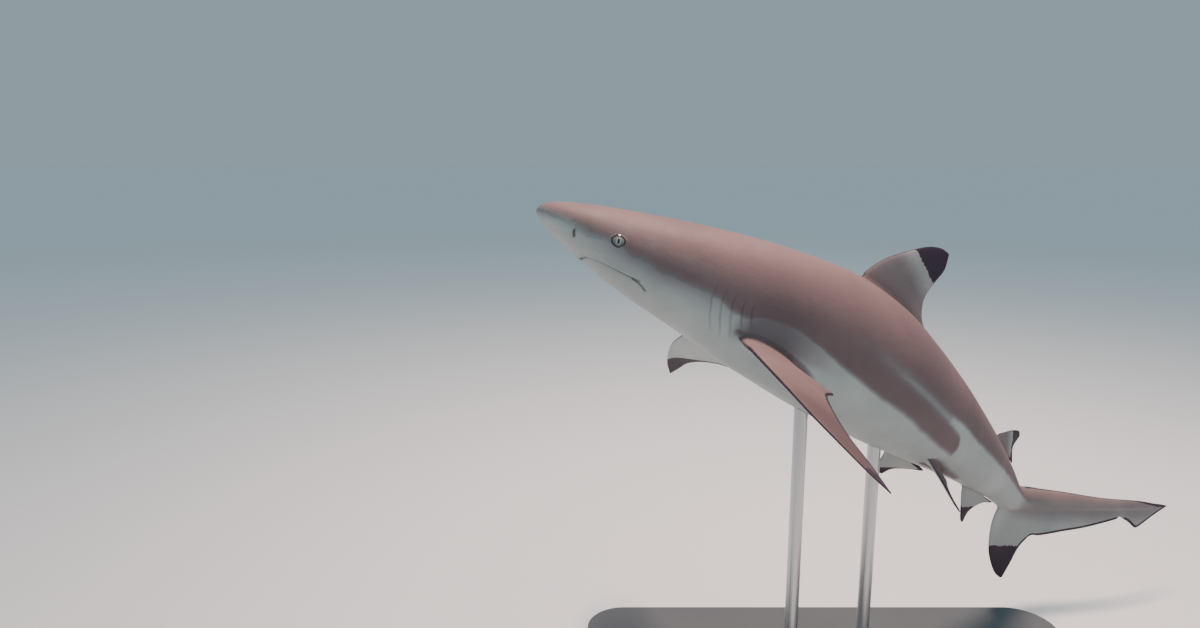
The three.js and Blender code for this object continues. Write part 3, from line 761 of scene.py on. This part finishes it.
def marks_of(place, paint):
    """Every marking's value at each of the skin's points."""
    s, side, up = unbend(place).T
    x, out, over = fin_points(place, paint).T
    on_body = paint == 0
    on = {name: paint == index for index, name in enumerate(FINS, start=1)}
    tone, cover, shade_and_tail_grey = body_marks(s, side, up, on_body)
    black, hem = np.full(len(s), NONE), np.full(len(s), NONE)
    upright_fin_marks(np.stack([s, up], -1), on, tone, cover, black, hem)
    tail_marks(s, up, on, on_body, tone, shade_and_tail_grey, black, hem)
    paired_fin_marks(x, out, over, on, tone, cover, black, hem)
    crease_shade, rim = fold_marks(s, side, up, on_body)
    snout = (1 - ease(s, 6, 11)) * on_body
    marks = {
        "tone": tone, "cover": cover, "black": black, "hem": hem, "shade_and_tail_grey": shade_and_tail_grey, "crease_shade": crease_shade, "rim": rim,
        "snout": snout, "chord": x,
    }
    return marks, s, side


def finish_skin(skin):
    """Rounds the fins into the body and writes the markings on the points."""
    shell = bmesh.new()
    shell.from_mesh(skin.data)
    joins = {v for e in shell.edges if len({f.material_index for f in e.link_faces}) > 1 for v in e.verts}
    bmesh.ops.remove_doubles(shell, verts=list(joins), dist=0.0005)
    bmesh.ops.dissolve_degenerate(shell, edges=shell.edges, dist=1e-6)
    bmesh.ops.triangulate(shell, faces=[f for f in shell.faces if len(f.verts) > 3])
    shell.verts.ensure_lookup_table()
    shell.verts.index_update()
    place = np.array([v.co for v in shell.verts])
    paint = np.array([max(f.material_index for f in v.link_faces) for v in shell.verts])
    first, second = np.array([[v.index for v in e.verts] for e in shell.edges]).T
    seam = np.unique([
        v.index for e in shell.edges if len({f.material_index for f in e.link_faces}) > 1 for v in e.verts
    ])
    marks, s, side = marks_of(place, paint)

    # The joins are smoothed within 3 to 13 mm of a fin's root, and hardly at the tail's thin edges.
    seam_tree = tree_of(place[seam])
    free = np.array([seam_tree.find(point)[2] for point in place])
    soft = 1 - ease(free, 0.003, 0.013)
    soft = np.where(s > TAIL_FROM, soft * (0.1 + 0.9 * ease(np.abs(side), 0.08, 0.22)), soft)
    valence = np.bincount(first, minlength=len(place)) + np.bincount(second, minlength=len(place))

    def mean_beside(value):
        """The mean over each point's neighbours."""
        total = np.bincount(first, value[second], len(value)) + np.bincount(second, value[first], len(value))
        return total / valence

    shape_rounds, mark_rounds, pull = 24, 6, 0.6
    for _ in range(shape_rounds):
        means = np.stack([mean_beside(place[:, k]) for k in range(3)], -1)
        place += (means - place) * (pull * soft)[:, None]
    for name in ("tone", "cover", "shade_and_tail_grey"):
        for _ in range(mark_rounds):
            marks[name] = marks[name] + (mean_beside(marks[name]) - marks[name]) * pull * soft
    for vert, co in zip(shell.verts, place):
        vert.co = co
    for face in shell.faces:
        face.material_index = 0
        face.smooth = True
    shell.to_mesh(skin.data)
    shell.free()
    for name, value in marks.items():
        skin.data.attributes.new(name, "FLOAT", "POINT").data.foreach_set("value", value.astype(np.float32))
    skin.data.materials.clear()
    skin.data.update()


finish_skin(skin)


class Finish:
    """A material, with short calls that lay its nodes."""

    def __init__(self, name):
        self.material = bpy.data.materials.new(name)
        self.material.use_nodes = True
        self.tree = self.material.node_tree
        self.shader = self.tree.nodes["Principled BSDF"]
        self.place = self.node("ShaderNodeTexCoord").outputs["Object"]

    def node(self, kind, **settings):
        made = self.tree.nodes.new(kind)
        for key, value in settings.items():
            setattr(made, key, value)
        return made

    def feed(self, socket, given):
        """Gives a socket a number, a colour or another node's output."""
        if isinstance(given, (int, float)):
            socket.default_value = given
        elif isinstance(given, tuple):
            socket.default_value = (*given, 1)
        else:
            self.tree.links.new(given, socket)

    def set(self, **inputs):
        """Feeds the shader's own sockets, named with _ for each space."""
        for name, given in inputs.items():
            self.feed(self.shader.inputs[name.replace("_", " ")], given)

    def value(self, name):
        """A value kept on the mesh's points."""
        return self.node("ShaderNodeAttribute", attribute_name=name).outputs["Fac"]

    def maths(self, operation, a, b=0.0):
        made = self.node("ShaderNodeMath", operation=operation)
        self.feed(made.inputs[0], a)
        self.feed(made.inputs[1], b)
        return made.outputs[0]

    def stepped(self, value, low, high):
        """0 below low and 1 above high."""
        made = self.node("ShaderNodeMapRange", interpolation_type="SMOOTHSTEP")
        self.feed(made.inputs["Value"], value)
        made.inputs["From Min"].default_value, made.inputs["From Max"].default_value = low, high
        return made.outputs["Result"]

    def spread(self, value, low, high):
        """A value of 0 to 1 spread from low to high."""
        made = self.node("ShaderNodeMapRange")
        self.feed(made.inputs["Value"], value)
        made.inputs["To Min"].default_value, made.inputs["To Max"].default_value = low, high
        return made.outputs["Result"]

    def noise(self, scale, detail=2.0, rough=0.5, place=None):
        made = self.node("ShaderNodeTexNoise")
        self.feed(made.inputs["Vector"], place or self.place)
        made.inputs["Scale"].default_value = scale
        made.inputs["Detail"].default_value = detail
        made.inputs["Roughness"].default_value = rough
        return made.outputs["Fac"]

    def cells(self, scale):
        """Distance to the nearest of scattered points."""
        made = self.node("ShaderNodeTexVoronoi")
        self.feed(made.inputs["Vector"], self.place)
        made.inputs["Scale"].default_value = scale
        return made.outputs["Distance"]

    def mix(self, factor, a, b, blend="MIX"):
        made = self.node("ShaderNodeMix", data_type="RGBA", blend_type=blend)
        for socket, given in ((made.inputs["Factor"], factor), (made.inputs[6], a), (made.inputs[7], b)):
            self.feed(socket, given)
        return made.outputs[2]

    def bump(self, height, strength, distance, under=None):
        made = self.node("ShaderNodeBump")
        self.feed(made.inputs["Height"], height)
        made.inputs["Strength"].default_value, made.inputs["Distance"].default_value = strength, distance
        if under:
            self.feed(made.inputs["Normal"], under)
        return made.outputs["Normal"]


def skin_material():
    """Satin paint over the markings and the painted shade, flecked and mottled, with pores on the snout and
    rays on the fins.
    """
    skin_paint = Finish("shark_skin")
    maths, stepped, mix, value = skin_paint.maths, skin_paint.stepped, skin_paint.mix, skin_paint.value
    near_black, crease_shade_colour, pore_brown = (0.040, 0.026, 0.043), (0.060, 0.050, 0.055), (0.070, 0.060, 0.062)
    rim_dark_and_shade = (0.035, 0.028, 0.032)
    broad = skin_paint.noise(9, 3, 0.55)
    middle = skin_paint.noise(45, 4, 0.55)
    speck = skin_paint.noise(420, 2, 0.55)
    wander = maths("SUBTRACT", middle, 0.5)

    covered = stepped(maths("ADD", value("tone"), maths("MULTIPLY", wander, 0.3)), -0.42, 0.42)
    # The painted shade, and the tail's own grey, take over where they are darker than the brown's cover.
    covered = maths("MAXIMUM", maths("MULTIPLY", covered, value("cover")), value("shade_and_tail_grey"))
    pale_to_brown = skin_paint.node("ShaderNodeValToRGB")
    skin_paint.feed(pale_to_brown.inputs["Fac"], covered)
    ramp = pale_to_brown.color_ramp.elements
    # The pale is set greyer than the shark's real white underside: its own pale colour, partly painted shade.
    ramp[0].color = (0.425, 0.47, 0.46, 1)
    ramp[1].color = (0.092, 0.062, 0.067, 1)
    for at, colour in (
        (0.25, (0.290, 0.292, 0.300)), (0.58, (0.184, 0.162, 0.170)), (0.86, (0.170, 0.121, 0.125)),
    ):
        ramp.new(at).color = (*colour, 1)
    mottled = mix(stepped(broad, 0.35, 0.7), (0.9, 0.9, 0.9), (1.1, 1.08, 1.06))
    colour = mix(1, pale_to_brown.outputs["Color"], mottled, "MULTIPLY")
    flecks = maths("MULTIPLY", stepped(speck, 0.60, 0.72), covered)
    colour = mix(flecks, colour, (0.86, 0.85, 0.86), "MULTIPLY")
    pores = maths("SUBTRACT", 1.0, stepped(skin_paint.cells(210), 0.10, 0.17))
    pores = maths("MULTIPLY", maths("MULTIPLY", pores, value("snout")), 0.55)
    colour = mix(pores, colour, pore_brown)

    ragged = maths("MULTIPLY", maths("SUBTRACT", skin_paint.noise(160, 3, 0.55), 0.5), 0.7)
    ragged_edge = maths("ADD", ragged, maths("MULTIPLY", wander, 0.9))
    tips = stepped(maths("ADD", value("black"), ragged_edge), -0.06, 0.06)
    hems = stepped(maths("ADD", value("hem"), maths("MULTIPLY", ragged, 0.12)), -0.05, 0.05)
    colour = mix(maths("MAXIMUM", tips, hems), colour, near_black)
    # A dark line along the lids' edge: dark skin there, with the lids' shade painted in.
    rim = value("rim")
    rim = maths("MULTIPLY", stepped(rim, -0.10, -0.02), maths("SUBTRACT", 1.0, stepped(rim, 0.03, 0.13)))
    colour = mix(maths("MULTIPLY", rim, 0.85), colour, rim_dark_and_shade)
    # Painted shade darkens the mouth's line, the furrows, the nostrils and the gill slits.
    colour = mix(maths("MULTIPLY", value("crease_shade"), 0.85), colour, crease_shade_colour)

    rays = maths("SINE", maths("MULTIPLY", value("chord"), 26.0))
    relief = skin_paint.bump(skin_paint.cells(900), 0.25, 0.0004)
    relief = skin_paint.bump(rays, 0.12, 0.0004, relief)
    relief = skin_paint.bump(middle, 0.35, 0.0015, relief)
    skin_paint.set(
        Base_Color=colour, Roughness=skin_paint.spread(middle, 0.48, 0.66), Specular_IOR_Level=0.14,
        Normal=relief,
    )
    return skin_paint.material


skin.data.materials.append(skin_material())
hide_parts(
    "head", "lower_jaw", "gill_region", "trunk_front", "trunk_middle", "trunk_rear", "tail_stalk",
    "first_dorsal_fin", "second_dorsal_fin", "anal_fin", "pectoral_fin_left", "pectoral_fin_right",
    "pelvic_fin_left", "pelvic_fin_right", "caudal_upper_lobe", "caudal_lower_lobe", "caudal_terminal_lobe",
)
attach(skin, "root")

# ---- The eyes ------------------------------------------------------------------------------------------
# Each eye is a polished glass-eye oval set deep in the head, with a pale iris, an upright slit pupil and a
# dark ring at its edge, partly painted shade from the lids. Only the part inside the lids shows.

EYE_SUNK = 0.02


def eye_mesh(name, mirror):
    """The oval, with each point's place along the eye's level and upright axes kept for its colours."""
    ball = bmesh.new()
    bmesh.ops.create_uvsphere(ball, u_segments=72, v_segments=40, radius=1)
    unit = np.array([v.co for v in ball.verts])
    ds, dup = unit[:, 0] * EYE_HALF[0], unit[:, 1] * EYE_HALF[2]
    out = unit[:, 2] * EYE_HALF[1] + EYE_SLANT * ds + EYE_LEAN * dup
    s, side, up = EYE_AT[0] + ds, mirror * (EYE_AT[1] + out - EYE_SUNK), EYE_AT[2] + dup
    for vert, co in zip(ball.verts, bend(np.stack([s, side, up], -1))):
        vert.co = co
    bmesh.ops.recalc_face_normals(ball, faces=ball.faces)
    for face in ball.faces:
        face.smooth = True
    mesh = bpy.data.meshes.new(name)
    ball.to_mesh(mesh)
    ball.free()
    for key, value in zip(("level", "upright"), eye_plane(s, up)):
        mesh.attributes.new(key, "FLOAT", "POINT").data.foreach_set("value", value.astype(np.float32))
    return mesh


def eye_material():
    glass = Finish("shark_eye")
    iris_dark, iris_light, iris_inner = (0.115, 0.118, 0.12), (0.21, 0.215, 0.212), (0.30, 0.30, 0.29)
    edge_dark_and_lid_shade, pupil_black = (0.030, 0.026, 0.030), (0.004, 0.004, 0.006)

    def oval(half_level, half_upright):
        """1 on an oval of these half sizes, less inside it and more outside."""
        a = glass.maths("DIVIDE", glass.value("level"), half_level)
        b = glass.maths("DIVIDE", glass.value("upright"), half_upright)
        squares = glass.maths("MULTIPLY", a, a), glass.maths("MULTIPLY", b, b)
        return glass.maths("SQRT", glass.maths("ADD", *squares))

    grain = glass.noise(500)
    colour = glass.mix(grain, iris_dark, iris_light)
    colour = glass.mix(glass.stepped(oval(0.24, 0.36), 0.8, 1.3), iris_inner, colour)
    # A dark ring just inside the lids: the eye's dark edge, with the lids' shade painted in.
    colour = glass.mix(glass.stepped(oval(0.58, 0.455), 0.84, 0.97), colour, edge_dark_and_lid_shade)
    colour = glass.mix(glass.stepped(oval(0.10, 0.26), 0.85, 1.12), pupil_black, colour)
    glass.set(
        Base_Color=colour, Roughness=glass.spread(grain, 0.10, 0.18), Specular_IOR_Level=0.35,
        Coat_Weight=0.15, Coat_Roughness=0.06,
    )
    return glass.material


eye_finish = eye_material()
for eye_name, node_name, mirror in (("eye_ball_left", "eye_left", -1), ("eye_ball_right", "eye_right", 1)):
    eye = bpy.data.objects.new(eye_name, eye_mesh(eye_name, mirror))
    eye.data.materials.append(eye_finish)
    scene.collection.objects.link(eye)
    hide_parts(node_name)
    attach(eye, "root")

# ---- The stand's base -----------------------------------------------------------------------------------
# A flat slab with rounded corners, cut from wood-fibre board, sealed and sprayed satin grey. It lies on the
# floor and carries the feet of the two rods.

base_paint = Finish("stand_base_paint")
shade, spray = base_paint.noise(6), base_paint.noise(700)
base_paint.set(
    Base_Color=base_paint.mix(shade, (0.075, 0.088, 0.098), (0.095, 0.108, 0.118)),
    Roughness=base_paint.spread(shade, 0.38, 0.52),
    Normal=base_paint.bump(spray, 0.15, 0.0003),
)
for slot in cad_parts["stand_base"].material_slots:
    slot.material = base_paint.material

# ---- The stand's rods -----------------------------------------------------------------------------------
# Two round steel rods, brushed along their length, each with a low round foot on the base. They stand upright
# and hold the shark from below, where its weight is.

steel = Finish("stand_rod_steel")
lengthwise = steel.node("ShaderNodeMapping")
lengthwise.inputs["Scale"].default_value = (900, 900, 14)
steel.feed(lengthwise.inputs["Vector"], steel.place)
brushed = steel.noise(1, 3, place=lengthwise.outputs["Vector"])
steel.set(
    Base_Color=steel.mix(brushed, (0.46, 0.47, 0.48), (0.62, 0.62, 0.63)),
    Roughness=steel.spread(brushed, 0.24, 0.40),
    Metallic=1,
)
for rod in ("stand_rod_front", "stand_rod_rear"):
    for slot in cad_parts[rod].material_slots:
        slot.material = steel.material

# ---- The floor and the light ----------------------------------------------------------------------------
# A plain pale floor, one warm round lamp overhead for the bright back, a broad cool light from high on the
# viewer's side, and a pale blue room all round.

FLOOR_HALF = 40
floor_mesh = bpy.data.meshes.new("floor")
floor_corners = [(x * FLOOR_HALF, y * FLOOR_HALF, 0) for x, y in ((-1, -1), (1, -1), (1, 1), (-1, 1))]
floor_mesh.from_pydata(floor_corners, [], [(0, 1, 2, 3)])
floor = bpy.data.objects.new("floor", floor_mesh)
floor_paint = Finish("floor_paint")
floor_paint.set(Base_Color=(0.68, 0.735, 0.755), Roughness=0.9)
floor_mesh.materials.append(floor_paint.material)
scene.collection.objects.link(floor)


def add_light(lamp, place, aim):
    """Puts a lamp at a place, turned towards its aim."""
    light = bpy.data.objects.new(lamp.name, lamp)
    light.location = place
    light.rotation_euler = (Vector(aim) - Vector(place)).to_track_quat("-Z", "Y").to_euler()
    scene.collection.objects.link(light)


key = bpy.data.lights.new("key", "AREA")
key.shape, key.size, key.energy, key.color = "DISK", 0.6, 128, (1.0, 0.69, 0.58)
add_light(key, (0.25, 0.45, 2.60), (0.1, 0, 0.5))
fill = bpy.data.lights.new("fill", "SUN")
fill.angle, fill.energy, fill.color = math.radians(70), 0.55, (0.80, 0.94, 1.0)
add_light(fill, (-0.8, -1.6, 2.6), (0.0, 0, 0.5))

room = bpy.data.worlds.new("room")
scene.world = room
room.use_nodes = True
room_light = room.node_tree.nodes["Background"].inputs
room_light["Color"].default_value = (0.62, 0.83, 0.94, 1)
room_light["Strength"].default_value = 0.45
